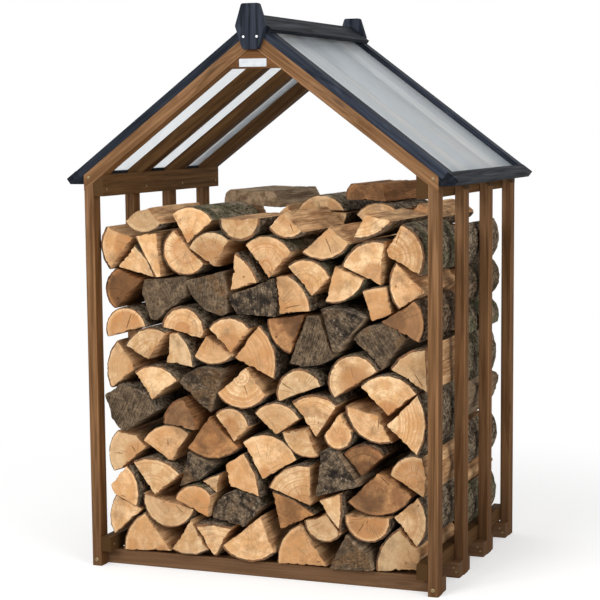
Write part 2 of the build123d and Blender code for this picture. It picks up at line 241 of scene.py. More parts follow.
def timber(name, along, light, dark, front_light=0.0):
    """Planed softwood under a brown stain, its grain along one direction.

    It has painted shade near the ground, and a painted highlight on the rounded arrises of pieces that run
    along an axis. Where asked, its front and rear faces carry painted light, paler most of all near the top.
    """
    s = Shader(bpy.data.materials.new(name))
    own = s.own_place()
    place = s.mapped(own, (1, 1, 1), GRAIN[along])
    core, halo = knots(s, place, *KNOT_CORE), knots(s, place, *KNOT_HALO)
    bent = s.shifted(place, s.joined(0.0, s.times(halo, 0.012), s.times(halo, -0.009)))
    lines, pores, streaks = wood_figure(s, bent)
    blotch = s.noise(s.mapped(place, (0.5, 1, 1)), 9.0, 3.0)
    tone = s.add(s.times(s.inverse(lines), 0.28), s.between(s.ramp(streaks, 0.35, 0.68), 0.12, 0.72))
    colour = s.mix(tone, dark, light)
    colour = s.mix(s.times(s.ramp(blotch, 0.5, 0.75), 0.16), colour, dimmed(dark, 0.85))
    colour = s.mix(s.times(s.ramp(pores, 0.55, 0.75), 0.28), colour, dimmed(dark, 0.55))
    colour = s.mix(s.times(halo, 0.25), colour, dimmed(dark, 0.85))
    colour = s.mix(s.times(core, 0.8), colour, dimmed(dark, 0.3))

    normal = s.node("NewGeometry").outputs["True Normal"]
    facing = s.parts(normal)
    run = s.node("VectorMath", {0: normal, 1: RUN[along]}, operation="DOT_PRODUCT").outputs["Value"]
    cut = s.ramp(s.math("ABSOLUTE", run), 0.5, 0.9)
    end_grain = s.mix(s.noise(own, 520.0, 3.0), dimmed(dark, 0.75), dimmed(dark, 1.25))
    colour = s.mix(s.times(cut, 0.9), colour, end_grain)
    if along in EDGE_PAIR:
        first, second = (s.math("ABSOLUTE", facing[axis]) for axis in EDGE_PAIR[along])
        # Painted highlight on the rounded arrises, broken in patches
        arris_highlight = s.times(s.ramp(s.times(first, second), 0.1, 0.4), s.ramp(blotch, 0.35, 0.6))
        colour = s.mix(s.times(arris_highlight, 0.4), colour, dimmed(light, 1.6))
    above = s.parts(s.place())[2]
    # Painted shade: the colour darkens towards the ground, fading out half a metre up
    colour = s.mix(s.times(s.inverse(s.ramp(above, 0.0, FOOT_SHADE_TOP)), 0.65), colour, dark)
    # Painted light: front and rear faces paler, the more so higher up and in the lighter grain
    if front_light:
        higher = s.between(s.ramp(above, *FRONT_LIGHT_RISE), 0.4 * front_light, front_light)
        pale = s.times(s.math("ABSOLUTE", facing[1]), higher)
        colour = s.mix(s.times(pale, tone), colour, FRONT_LIGHT_TONE)

    height = s.less(s.add(s.times(pores, 0.5), s.times(tone, 0.6)), s.times(core, 0.6))
    soft = s.node("Bevel", {"Radius": 0.0016}, samples=4).outputs[0]
    return s.finish(
        Base_Color=colour,
        Roughness=s.between(pores, 0.48, 0.74),
        Specular_IOR_Level=0.02,
        Normal=s.bump(s.times(height, s.inverse(cut)), 0.4, 0.0010, soft),
    )


def painted(name, along, level):
    """Anthracite paint that lets the grain of the board show, chalky in places, its level making it darker
    or lighter as painted light and shade.
    """
    s = Shader(bpy.data.materials.new(name))
    place = s.mapped(s.own_place(), (1, 1, 1), GRAIN[along])
    core = knots(s, place, *KNOT_CORE)
    lines, pores, streaks = wood_figure(s, place)
    tone = s.add(s.times(s.ramp(streaks, 0.38, 0.68), 0.6), s.times(lines, 0.4))
    colour = s.mix(tone, dimmed(rgb(17, 20, 26), level), dimmed(rgb(42, 47, 57), level))
    chalk = s.ramp(s.noise(s.mapped(place, (0.3, 1, 1)), 26.0, 4.0), 0.55, 0.75)
    colour = s.mix(s.times(chalk, 0.35), colour, dimmed(rgb(66, 72, 83), level))
    colour = s.mix(s.times(core, 0.6), colour, rgb(14, 14, 17))
    height = s.less(s.add(tone, s.times(pores, 0.4)), s.times(core, 0.5))
    soft = s.node("Bevel", {"Radius": 0.0018}, samples=4).outputs[0]
    return s.finish(
        Base_Color=colour,
        Roughness=s.between(tone, 0.72, 0.52),
        Specular_IOR_Level=0.07,
        Normal=s.bump(height, 0.5, 0.0012, soft),
    )


def fluted_sheet(name):
    """Translucent twin-wall sheet, its channels running down the slope, with painted light in broad stripes.
    """
    s = Shader(bpy.data.materials.new(name))
    place = s.place()
    phase = s.math("FRACT", s.times(s.parts(place)[1], 1 / FLUTE_PITCH))
    web = s.math("ABSOLUTE", s.less(phase, 0.5))
    wall = s.ramp(web, 0.34, 0.48)
    bands = s.noise(s.mapped(place, (0.5, 5.0, 0.5)), 1.5, 2.0)
    cloud = s.noise(s.mapped(place, (1, 3.5, 1)), 3.2, 3.0)
    tint = s.mix(wall, rgb(220, 234, 243), rgb(206, 220, 229))
    # Painted light: broad paler stripes down the slope on the top faces, standing for a reflection and for
    # light between the rafters below
    tint = s.mix(s.times(s.ramp(bands, 0.46, 0.64), 0.9), tint, rgb(252, 255, 255))
    tint = s.mix(s.times(s.ramp(cloud, 0.45, 0.7), 0.25), tint, rgb(176, 191, 201))
    surface = s.node("NewGeometry").outputs
    leaving = surface["Backfacing"]
    upper = s.times(s.ramp(s.parts(surface["True Normal"])[2], 0.1, 0.3), s.inverse(leaving))
    normal = s.bump(wall, s.between(upper, 0.06, 0.22), 0.0008)
    body = s.node("BsdfPrincipled", {
        "Base Color": s.mix(upper, rgb(252, 254, 255), tint),
        "Roughness": s.between(upper, 0.13, 0.26),
        "IOR": 1.13,
        "Transmission Weight": s.math("MAXIMUM", s.between(upper, 0.92, 0.44), leaving),
        "Normal": normal,
    })
    glow = s.node("BsdfTranslucent", {"Color": rgb(236, 242, 246), "Normal": normal})
    glowing = s.times(s.inverse(leaving), 0.28)
    return s.shown(s.node("MixShader", {0: glowing, 1: body.outputs[0], 2: glow.outputs[0]}))


def plain_plate(name):
    """Satin white plate, bare, with a faint haze."""
    s = Shader(bpy.data.materials.new(name))
    cloud = s.noise(s.place(), 60.0, 3.0)
    colour = s.mix(s.ramp(cloud, 0.4, 0.7), rgb(188, 191, 194), rgb(176, 180, 186))
    soft = s.node("Bevel", {"Radius": 0.0006}, samples=4).outputs[0]
    return s.finish(Base_Color=colour, Roughness=0.3, Normal=s.bump(cloud, 0.05, 0.0003, soft))


def metal(name, bright, dull):
    """Plated steel with fine scuffs."""
    s = Shader(bpy.data.materials.new(name))
    scuff = s.noise(s.place(), 900.0, 3.0)
    colour = s.mix(s.ramp(scuff, 0.4, 0.7), bright, dull)
    return s.finish(
        Base_Color=colour,
        Metallic=0.8,
        Roughness=s.between(scuff, 0.3, 0.5),
        Normal=s.bump(scuff, 0.1, 0.0002),
    )


# Materials of the firewood

SAW_TURN = 40.0
RING_PITCH = 0.0034
CRACK = rgb(84, 56, 36)


def log_values(s):
    """Place round a log's own pith, the log's own number, and a place that no other log has."""
    pith = s.node("Attribute", attribute_name="pith").outputs["Vector"]
    own = s.carried("own")
    return pith, own, s.shifted(pith, s.times(own, LOG_SPREAD))


def turned(s, pith, own):
    """Place on a log's end, turned by another angle for each log, for marks of the saw."""
    inputs = {"Vector": pith, "Axis": (0, 1, 0), "Angle": s.times(own, SAW_TURN)}
    return s.node("VectorRotate", inputs).outputs[0]


def picked(s, own, number):
    """Another number from 0 to 1 for each log."""
    return s.math("FRACT", s.times(own, number))


def drying_cracks(s, angle, radius, own, place, count, share, width):
    """Thin dark cracks that run straight out from the pith, on some of an even fan of rays."""
    wander = s.centred(s.noise(place, 60.0, 2.0), 0.11)
    turn = s.add(s.times(angle, count / (2 * math.pi)), wander)
    offset = s.math("ABSOLUTE", s.less(s.math("FRACT", turn), 0.5))
    away = s.times(s.times(offset, 2 * math.pi / count), radius)
    ray = s.joined(s.math("FLOOR", turn), s.times(own, 100.0), float(count))
    dice = s.node("TexWhiteNoise", {"Vector": ray}).outputs
    start = s.times(s.parts(dice["Color"])[1], 0.045)
    end = s.add(start, s.between(s.math("FRACT", s.times(dice["Value"], 9.0)), 0.012, 0.06))
    begun = s.ramp(s.less(radius, start), 0.0, 0.006)
    reach = s.times(begun, s.inverse(s.ramp(s.less(radius, end), -0.012, 0.0)))
    line = s.inverse(s.ramp(away, width * 0.25, s.times(reach, width)))
    return s.times(s.times(line, reach), s.math("LESS_THAN", dice["Value"], share))


def wood_of_end(s, own, place, radius, to_bark, tones, variety):
    """Colour of a clean sawn end with its year rings, heart and sapwood, and its fine rings and blotches."""
    heart = tones["heart"]
    blotch = s.noise(place, 26.0, 4.0, 0.6)
    wide = s.noise(place, 8.0, 3.0)
    colour = s.mix(s.ramp(blotch, 0.40, 0.60), tones["pale"], tones["mid"])
    patches = s.times(s.ramp(wide, 0.44, 0.56), s.between(picked(s, own, 11.1), 0.1, variety))
    colour = s.mix(patches, colour, heart)
    colour = s.mix(s.times(s.ramp(picked(s, own, 17.3), 0.5, 1.0), 0.6), colour, tones["warm"])
    colour = s.mix(s.times(s.ramp(picked(s, own, 5.7), 0.6, 1.0), 0.6), colour, tones["dull"])

    year = s.noise(s.joined(s.times(radius, 165.0), s.times(own, 60.0)), 1.0, 2.0, 0.6)
    strength = s.between(picked(s, own, 29.0), 0.12, 0.66)
    colour = s.mix(s.times(s.ramp(year, 0.46, 0.64), strength), colour, dimmed(heart, 1.15))
    rings = s.ramp(s.math("SINE", s.times(radius, 2 * math.pi / RING_PITCH)), 0.2, 1.0)
    colour = s.mix(s.times(rings, 0.14), colour, heart)

    reach = s.between(picked(s, own, 7.0), -0.010, 0.062)
    core = s.inverse(s.ramp(s.less(s.add(radius, s.centred(blotch, 0.012)), reach), -0.006, 0.010))
    colour = s.mix(s.times(core, s.between(picked(s, own, 3.1), 0.25, 0.8)), colour, heart)
    sap = s.times(s.ramp(to_bark, 0.002, 0.004), s.inverse(s.ramp(to_bark, 0.008, 0.016)))
    return s.mix(s.times(sap, 0.35), colour, dimmed(tones["pale"], 1.1)), rings, blotch


def soiled(s, place, rim, colour, tones, age):
    """A sawn end's colour under stains, specks and grime, with more grime if older, and painted shade along
    its rim.
    """
    mid, dirt = tones["mid"], tones["dirt"]
    stain = s.ramp(s.noise(place, 48.0, 5.0, 0.65), 0.46, 0.66)
    colour = s.mix(s.times(stain, 0.4), colour, dimmed(mid, 0.66))
    speck = s.ramp(s.noise(place, 160.0, 3.0, 0.7), 0.50, 0.66)
    colour = s.mix(s.times(speck, 0.3), colour, dimmed(mid, 0.55))
    grime = s.ramp(s.noise(place, 15.0, 5.0, 0.65), 0.56 - age, 0.78 - age)
    # Painted shade along the rim, in patches, where the gaps between logs fall dark
    edge = s.times(s.inverse(s.ramp(rim, 0.001, 0.007)), s.ramp(s.noise(place, 55.0, 3.0), 0.42, 0.62))
    colour = s.mix(s.times(grime, 0.55), colour, dirt)
    return s.mix(s.times(edge, 0.55), colour, dimmed(dirt, 0.7))


def rind(s, own, place, to_bark, blotch):
    """Where the bark shows as a rim round a sawn end, of another thickness on each log, and its colour."""
    most = s.between(picked(s, own, 31.0), 0.004, 0.016)
    thick = s.between(s.noise(place, 60.0, 4.0, 0.7), 0.0030, most)
    colour = s.mix(s.ramp(blotch, 0.4, 0.6), rgb(52, 36, 28), rgb(116, 78, 54))
    return s.inverse(s.ramp(s.less(to_bark, thick), 0.0, 0.0012)), colour


def sawn_end(name, tones, age, variety):
    """The sawn end of a log: year rings round the pith, a darker heart, drying cracks and saw marks."""
    s = Shader(bpy.data.materials.new(name))
    pith, own, place = log_values(s)
    to_bark = s.carried("to_bark")
    x, _, z = s.parts(pith)
    radius = s.node("VectorMath", {0: s.joined(x, 0.0, z)}, operation="LENGTH").outputs["Value"]
    angle = s.math("ARCTAN2", z, x)
    bent = s.add(radius, s.centred(s.noise(place, 24.0, 3.0), 0.009))
    colour, rings, blotch = wood_of_end(s, own, place, bent, to_bark, tones, variety)

    across = turned(s, pith, own)
    saw = s.noise(s.mapped(across, (1, 1, 0.02)), 240.0, 2.0)
    tear = s.ramp(s.noise(s.mapped(across, (1, 1, 0.22)), 120.0, 3.0, 0.7), 0.66, 0.76)
    colour = s.mix(s.times(s.ramp(saw, 0.45, 0.7), 0.16), colour, dimmed(tones["mid"], 0.6))
    colour = s.mix(s.times(tear, 0.45), colour, dimmed(tones["heart"], 0.55))
    spots = s.node("TexVoronoi", {"Vector": place, "Scale": 21.0})
    spot = s.inverse(s.ramp(spots.outputs["Distance"], 0.05, 0.11))
    spot = s.times(spot, s.math("GREATER_THAN", s.parts(spots.outputs["Color"])[0], 0.72))
    colour = s.mix(s.times(spot, 0.7), colour, dimmed(tones["heart"], 0.4))
    colour = soiled(s, place, s.carried("rim"), colour, tones, age)

    wide_cracks = drying_cracks(s, angle, radius, own, place, 13, 0.12, 0.0022)
    fine_cracks = drying_cracks(s, angle, radius, own, place, 41, 0.30, 0.0014)
    crack = s.math("MAXIMUM", wide_cracks, s.times(fine_cracks, 0.5))
    colour = s.mix(s.times(crack, 0.75), colour, CRACK)
    level = s.between(picked(s, own, 23.0), 0.80, 1.06)
    colour = s.mix(1.0, colour, s.joined(level, level, level), "MULTIPLY")
    barky, bark_colour = rind(s, own, place, to_bark, blotch)
    colour = s.mix(s.times(barky, 0.9), colour, bark_colour)

    height = s.add(s.add(s.times(rings, 0.12), s.times(saw, 0.5)), s.times(blotch, 0.6))
    height = s.less(s.less(height, s.times(crack, 2.0)), s.times(tear, 0.7))
    return s.finish(
        Base_Color=colour, Roughness=0.84, Specular_IOR_Level=0.08, Normal=s.bump(height, 0.6, 0.0014)
    )


def weathered_end(name):
    """An old end, grey and dark in patches, with open grain and pale flecks, paler on top of the stack."""
    s = Shader(bpy.data.materials.new(name))
    pith, own, place = log_values(s)
    streaks = s.mapped(turned(s, pith, own), (1, 1, 0.08))
    lines = s.noise(s.shifted(streaks, own), 320.0, 3.0, 0.7)
    clouds = s.noise(place, 30.0, 6.0, 0.7)
    grain = s.noise(place, 150.0, 4.0, 0.7)
    colour = s.mix(s.ramp(clouds, 0.36, 0.66), rgb(34, 29, 26), rgb(142, 121, 97))
    kind = s.ramp(picked(s, own, 7.7), 0.45, 0.55)
    colour = s.mix(s.times(kind, 0.45), colour, rgb(120, 99, 76))
    streaky = s.between(picked(s, own, 19.0), 0.3, 0.75)
    colour = s.mix(s.times(s.ramp(lines, 0.46, 0.60), streaky), colour, rgb(34, 30, 28))
    brown = s.times(s.ramp(s.noise(place, 12.0, 4.0), 0.50, 0.62), s.between(picked(s, own, 3.3), 0.0, 0.7))
    colour = s.mix(brown, colour, rgb(122, 90, 58))
    colour = s.mix(s.times(s.ramp(grain, 0.44, 0.62), 0.6), colour, rgb(36, 32, 29))
    flecks = s.times(s.ramp(s.noise(place, 120.0, 3.0, 0.6), 0.63, 0.72), s.inverse(kind))
    colour = s.mix(s.times(flecks, 0.5), colour, rgb(190, 182, 168))
    # Ends of the logs on top of the stack take a paler tone
    stack_top_tone = s.mix(s.ramp(clouds, 0.4, 0.6), rgb(128, 104, 80), rgb(176, 150, 120))
    colour = s.mix(s.times(s.carried("on_stack_top"), 0.75), colour, stack_top_tone)
    height = s.add(s.add(s.times(lines, 0.7), s.times(clouds, 0.8)), s.times(grain, 0.6))
    return s.finish(
        Base_Color=colour, Roughness=0.9, Specular_IOR_Level=0.08, Normal=s.bump(height, 0.8, 0.0030)
    )


def split_side(name, pale, deep, dirt):
    """A split face, torn along the fibres."""
    s = Shader(bpy.data.materials.new(name))
    *_, place = log_values(s)
    fibres = s.noise(s.mapped(place, (1, 0.04, 1)), 300.0, 4.0, 0.65)
    bands = s.noise(s.mapped(place, (1, 0.07, 1)), 55.0, 3.0, 0.6)
    blotch = s.noise(s.mapped(place, (1, 0.5, 1)), 15.0, 5.0, 0.6)
    tone = s.add(s.times(fibres, 0.45), s.times(bands, 0.55))
    colour = s.mix(s.ramp(tone, 0.40, 0.60), deep, pale)
    colour = s.mix(s.times(s.ramp(blotch, 0.42, 0.68), 0.65), colour, dirt)
    tear = s.ramp(s.noise(s.mapped(place, (1, 0.1, 1)), 120.0, 3.0, 0.7), 0.60, 0.70)
    colour = s.mix(s.times(tear, 0.6), colour, dimmed(deep, 0.4))
    height = s.less(s.add(tone, s.times(bands, 0.6)), s.times(tear, 0.6))
    return s.finish(
        Base_Color=colour, Roughness=0.86, Specular_IOR_Level=0.08, Normal=s.bump(height, 0.8, 0.0034)
    )


def bark(name, light, dark, moss_share):
    """Rough bark in long plates with dark fissures and pale spots, and moss on some logs."""
    s = Shader(bpy.data.materials.new(name))
    _, own, place = log_values(s)
    field = s.noise(s.mapped(place, (1, 0.42, 1)), 46.0, 6.0, 0.62)
    plates = s.math("ABSOLUTE", s.less(field, 0.5))
    fissure = s.inverse(s.ramp(plates, 0.0, 0.035))
    ridges = s.noise(s.mapped(place, (1, 0.5, 1)), 130.0, 5.0, 0.7)
    patches = s.noise(place, 24.0, 4.0, 0.6)
    colour = s.mix(s.ramp(s.add(s.times(ridges, 0.55), s.times(patches, 0.45)), 0.42, 0.58), dark, light)
    picks = s.ramp(picked(s, own, 13.0), 1 - moss_share, 1.15 - moss_share)
    mossy = s.times(picks, s.ramp(s.noise(place, 18.0, 4.0), 0.40, 0.58))
    colour = s.mix(s.times(mossy, 0.65), colour, rgb(96, 100, 72))
    colour = s.mix(s.times(s.ramp(s.noise(place, 90.0, 3.0), 0.60, 0.72), 0.55), colour, rgb(176, 168, 148))
    colour = s.mix(s.times(fissure, 0.7), colour, rgb(36, 28, 21))
    height = s.less(s.add(ridges, s.times(plates, 3.0)), s.times(fissure, 0.4))
    return s.finish(
        Base_Color=colour, Roughness=0.93, Specular_IOR_Level=0.08, Normal=s.bump(height, 0.9, 0.0050)
    )


# CAD pieces that stay, in their finished materials

timbers = {
    "post": timber("post_stain", "z", rgb(133, 94, 59), rgb(80, 54, 32), front_light=0.30),
    "rail": timber("rail_stain", "y", rgb(116, 84, 52), rgb(72, 51, 30)),
    "bearer": timber("bearer_stain", "x", rgb(140, 103, 73), rgb(94, 68, 47), front_light=0.2),
    "gusset": timber("gusset_stain", "x", rgb(120, 82, 51), rgb(78, 52, 32)),
}
for _, along in SIDES:
    timbers[along + "_rafter"] = timber(
        along + "_rafter_stain", along, rgb(136, 95, 58), rgb(88, 60, 36), front_light=0.22
    )
    # A darker copy of the rafter stain for the inner and rear rafters: painted shade under the roof
    timbers[along + "_inner_rafter"] = timber(
        along + "_inner_rafter_painted_shade", along, rgb(98, 70, 42), rgb(62, 43, 26)
    )
# Painted light and shade: one paint, darker on the boards that run from front to back, lighter on the
# finials and barge boards, most on the right barge board
PAINTED_LIGHT_LEVELS = {"y": 0.6, "z": 1.4, "left": 1.1, "right": 1.6}
paints = {along: painted("anthracite_" + along, along, level) for along, level in PAINTED_LIGHT_LEVELS.items()}
sheet_look = fluted_sheet("fluted_sheet")
plate_look = plain_plate("bare_plate")
zinc = metal("zinc", rgb(214, 214, 216), rgb(176, 176, 178))
yellow_zinc = metal("yellow_zinc", rgb(150, 130, 96), rgb(110, 92, 64))


def look_of(name):
    """The material for a CAD piece that stays as it is."""
    side = name.split("_")[0]
    if name.endswith("post"):
        return timbers["post"]
    if name.endswith("front_rafter"):
        return timbers[side + "_rafter"]
    if name.endswith("rafter"):
        return timbers[side + "_inner_rafter"]
    if name.endswith("rail"):
        return timbers["rail"]
    if name.endswith(("bearer", "batten")):
        return timbers["bearer"]
    if name.endswith("gusset"):
        return timbers["gusset"]
    if name.endswith("barge_board"):
        return paints[side]
    if name.endswith(("eave_board", "ridge_cap")):
        return paints["y"]
    if name.endswith("finial"):
        return paints["z"]
    if name.endswith("roof_sheet"):
        return sheet_look
    return plate_look


for name, piece in nodes.items():
    if not name.endswith("logs"):
        piece.data.materials.clear()
        piece.data.materials.append(look_of(name))

# Firewood, rebuilt in detail inside the outline of each CAD log

FRESH_TONES = {
    "pale": rgb(240, 205, 160),
    "mid": rgb(216, 172, 122),
    "warm": rgb(212, 150, 94),
    "dull": rgb(192, 164, 126),
    "heart": rgb(176, 118, 70),
    "dirt": rgb(126, 98, 72),
}
BROWN_TONES = {
    "pale": rgb(196, 146, 98),
    "mid": rgb(156, 110, 74),
    "warm": rgb(192, 132, 76),
    "dull": rgb(128, 102, 78),
    "heart": rgb(88, 60, 41),
    "dirt": rgb(84, 64, 48),
}
LOOKS = {
    "fresh": (
        sawn_end("fresh_end", FRESH_TONES, age=0.06, variety=0.45),
        split_side("fresh_split", rgb(228, 184, 136), rgb(160, 114, 76), rgb(126, 96, 68)),
        bark("fresh_bark", rgb(164, 146, 122), rgb(84, 70, 56), moss_share=0.35),
    ),
    "brown": (
        sawn_end("brown_end", BROWN_TONES, age=0.13, variety=1.0),
        split_side("brown_split", rgb(176, 124, 80), rgb(116, 78, 48), rgb(92, 68, 48)),
        bark("brown_bark", rgb(146, 122, 98), rgb(74, 58, 45), moss_share=0.25),
    ),
    "weathered": (
        weathered_end("weathered_end"),
        split_side("weathered_split", rgb(172, 148, 120), rgb(108, 87, 67), rgb(88, 76, 60)),
        bark("weathered_bark", rgb(176, 160, 138), rgb(98, 86, 72), moss_share=0.4),
    ),
}
END, SPLIT, BARK = 0, 1, 2
POINT_SPACING = 0.0055
BARK_TURN = math.radians(29)
SHARP_TURN = math.radians(38)
FARTHEST_PITH = 0.16
MOST_TILT = 0.06
# Logs whose lowest point lies above this height count as on top of the stack
STACK_TOP_ABOVE = 1.06
# Along a log: sections near each end, spans between, and how far in from an end its shape reaches
END_SECTIONS = (0.0, 0.004, 0.014)
SPANS = 12
TORN_REACH = 0.016
ASKEW_REACH = 0.05
# On an end: how far its edge is set in, its unevenness, the rind, and rings on the way to the middle
EDGE_INSET = 0.0010
END_ROUGH = 0.0015
RIND_WIDTH = 0.0034
END_RINGS = (0.22, 0.46, 0.72)
SEED_SPREAD = (70, 130, 190)


def islands(mesh):
    """Points of each separate solid in a mesh."""
    places = np.empty(len(mesh.vertices) * 3)
    mesh.vertices.foreach_get("co", places)
    keys, same = np.unique(places.reshape(-1, 3).round(6), axis=0, return_inverse=True)
    same = same.reshape(-1)
    parent = list(range(len(keys)))

    def root(i):
        while parent[i] != i:
            parent[i] = parent[parent[i]]
            i = parent[i]
        return i

    for edge in mesh.edges:
        a, b = (root(same[vertex]) for vertex in edge.vertices)
        parent[a] = b
    groups = {}
    for i in range(len(keys)):
        groups.setdefault(root(i), []).append(keys[i])
    solids = [np.array(group) for group in groups.values()]
    return sorted(solids, key=lambda solid: (round(solid[:, 2].min(), 4), round(solid[:, 0].min(), 4)))


def outline_of(solid):
    """Corners of a log's end in X and Z, anticlockwise: the hull of its points."""
    points = sorted(set((round(x, 6), round(z, 6)) for x, _, z in solid))

    def half(ordered):
        chain = []
        for point in ordered:
            while len(chain) > 1:
                (ax, az), (bx, bz) = chain[-2], chain[-1]
                if (bx - ax) * (point[1] - az) - (bz - az) * (point[0] - ax) > 1e-9:
                    break
                chain.pop()
            chain.append(point)
        return chain[:-1]

    return half(points) + half(points[::-1])


def bark_edges(outline):
    """Which edges of the outline are the bark's arc: the longest run of softly turning corners."""
    count = len(outline)
    soft = []
    for i in range(count):
        (ax, az), (bx, bz), (cx, cz) = outline[i - 1], outline[i], outline[(i + 1) % count]
        turn = math.atan2(cz - bz, cx - bx) - math.atan2(bz - az, bx - ax)
        soft.append(abs((turn + math.pi) % (2 * math.pi) - math.pi) < BARK_TURN)
    best, best_length = [], 0.0
    for start in range(count):
        run = [start]
        while soft[(run[-1] + 1) % count] and len(run) < count:
            run.append((run[-1] + 1) % count)
        length = sum(math.dist(outline[j], outline[(j + 1) % count]) for j in run)
        if len(run) > 1 and length > best_length:
            best, best_length = run, length
    return best


def pith_of(outline, edges):
    """Middle of the circle that fits the bark, or of the end if there is no bark."""
    middle = np.mean(outline, axis=0)
    if not edges:
        return middle
    points = [outline[i] for i in edges] + [outline[(edges[-1] + 1) % len(outline)]]
    table = np.array([[2 * x, 2 * z, 1] for x, z in points])
    squares = np.array([x * x + z * z for x, z in points])
    away = np.linalg.lstsq(table, squares, rcond=None)[0][:2] - middle
    return middle + away * min(1.0, FARTHEST_PITH / max(np.linalg.norm(away), 1e-6))


def resampled(outline, edges):
    """Evenly spaced points round the outline with softened corners, and whether each is on the bark."""
    points, on_bark = [], []
    count = len(outline)
    for i in range(count):
        a, b = np.array(outline[i]), np.array(outline[(i + 1) % count])
        steps = max(1, round(np.linalg.norm(b - a) / POINT_SPACING))
        for step in range(steps):
            points.append(a + (b - a) * step / steps)
            on_bark.append(i in edges)
    points = np.array(points)
    points = (np.roll(points, 1, 0) + 6 * points + np.roll(points, -1, 0)) / 8
    return points, on_bark


def wave(x, y, z, across, along, seed):
    """Smooth noise from about -1 to 1, at these numbers of waves in a metre."""
    return noise.noise(Vector((x * across, y * along, z * across)) + seed)


def inset(x, y, z, from_end, barky, seed):
    """How far the surface lies inside the outline here: torn near the ends, wavy along the log."""
    ragged = max(0.0, wave(x, y, z, 92, 20, seed)) * math.exp(-from_end / TORN_REACH)
    if barky:
        coarse, fine = wave(x, y, z, 55, 14, seed), wave(x, y, z, 190, 60, seed)
        return 0.0018 + 0.0016 * coarse + 0.0011 * fine + 0.002 * ragged
    coarse, fine = wave(x, y, z, 34, 5, seed), wave(x, y, z, 230, 9, seed)
    return 0.0027 + 0.0032 * coarse + 0.0009 * fine + 0.009 * ragged


def distance_to(points, starts, ends):
    """Least distance of each point from a set of lines."""
    if not len(starts):
        return np.full(len(points), 1.0)
    run = ends - starts
    share = ((points[:, None] - starts) * run).sum(2) / np.maximum((run * run).sum(1), 1e-12)
    nearest = starts + np.clip(share, 0, 1)[..., None] * run
    return np.linalg.norm(points[:, None] - nearest, axis=2).min(1)


class Log:
    """A detailed log inside the outline of a CAD log, with the values its materials read."""

    def __init__(self, solid, own):
        self.outline = outline_of(solid)
        edges = bark_edges(self.outline)
        self.ring, self.on_bark = resampled(self.outline, edges)
        self.pith = pith_of(self.outline, edges)
        self.centre = self.ring.mean(0)
        inward = self.centre - self.ring
        self.inward = inward / np.linalg.norm(inward, axis=1)[:, None]
        self.low, self.high = solid[:, 1].min(), solid[:, 1].max()
        self.seed = Vector([own * spread for spread in SEED_SPREAD])
        self.tilt = [chance.uniform(-MOST_TILT, MOST_TILT) for _ in range(4)]
        self.points, self.faces, self.kinds = [], [], []
        self.sides()
        self.end(0, self.low, -1)
        self.end(len(self.sections) - 1, self.high, 1)
        self.measure()

    def end_place(self, x, z, sign):
        """Y of a point on an end, which is cut a little askew and not quite flat."""
        tilt_x, tilt_z = self.tilt[:2] if sign < 0 else self.tilt[2:]
        dx, dz = x - self.centre[0], z - self.centre[1]
        reach = np.abs(self.ring - self.centre).max(0)
        dip = abs(tilt_x) * reach[0] + abs(tilt_z) * reach[1] + tilt_x * dx + tilt_z * dz
        rough = END_ROUGH + END_ROUGH * wave(x, sign, z, 28, 1, self.seed)
        return (self.low if sign < 0 else self.high) - sign * (dip + rough)

    def sides(self):
        """Split faces and bark, as sections along the log joined by quads."""
        span = self.high - self.low
        between = [span * step / SPANS for step in range(1, SPANS)]
        self.sections = [*END_SECTIONS, *between, *(span - along for along in reversed(END_SECTIONS))]
        count = len(self.ring)
        for along in self.sections:
            from_end = min(along, span - along)
            sign, own_end = (-1, self.low) if along < span / 2 else (1, self.high)
            y = self.low + along
            for (x, z), (in_x, in_z), barky in zip(self.ring, self.inward, self.on_bark):
                depth = inset(x, y, z, from_end, barky, self.seed) + (EDGE_INSET if from_end == 0 else 0)
                px, pz = x + in_x * depth, z + in_z * depth
                askew = (self.end_place(px, pz, sign) - own_end) * (1 - min(1.0, from_end / ASKEW_REACH))
                self.points.append((px, y + askew, pz))
        for section in range(len(self.sections) - 1):
            for i in range(count):
                j = (i + 1) % count
                a, b = section * count, (section + 1) * count
                self.faces.append((a + i, b + i, b + j, a + j))
                self.kinds.append(BARK if self.on_bark[i] else SPLIT)

    def end(self, section, y, sign):
        """The sawn end on a section: a rind's width, then rings of quads, then a fan."""
        count = len(self.ring)
        rim = before = section * count
        for share in (0.0, *END_RINGS):
            first = len(self.points)
            for i in range(count):
                px, _, pz = self.points[rim + i]
                if share:
                    px += (self.centre[0] - px) * share
                    pz += (self.centre[1] - pz) * share
                else:
                    thick = RIND_WIDTH * (1 + 0.7 * wave(px, y, pz, 90, 1, self.seed))
                    px, pz = px + self.inward[i][0] * thick, pz + self.inward[i][1] * thick
                self.points.append((px, self.end_place(px, pz, sign), pz))
            for i in range(count):
                j = (i + 1) % count
                quad = (before + i, before + j, first + j, first + i)
                self.faces.append(quad if sign < 0 else quad[::-1])
                self.kinds.append(END)
            before = first
        middle = len(self.points)
        self.points.append((self.centre[0], self.end_place(*self.centre, sign), self.centre[1]))
        for i in range(count):
            fan = (before + i, before + (i + 1) % count, middle)
            self.faces.append(fan if sign < 0 else fan[::-1])
            self.kinds.append(END)

    def measure(self):
        """Each point's place round the pith, distance from rim and bark, and whether the log lies on top."""
        places = np.array(self.points)
        flat = places[:, (0, 2)]
        after = np.roll(self.ring, -1, 0)
        barky = np.array(self.on_bark)
        self.rim = distance_to(flat, self.ring, after)
        self.to_bark = distance_to(flat, self.ring[barky], after[barky])
        self.on_stack_top = np.full(len(places), float(min(z for _, z in self.outline) > STACK_TOP_ABOVE))
        places[:, 0] -= self.pith[0]
        places[:, 2] -= self.pith[1]
        self.places = places


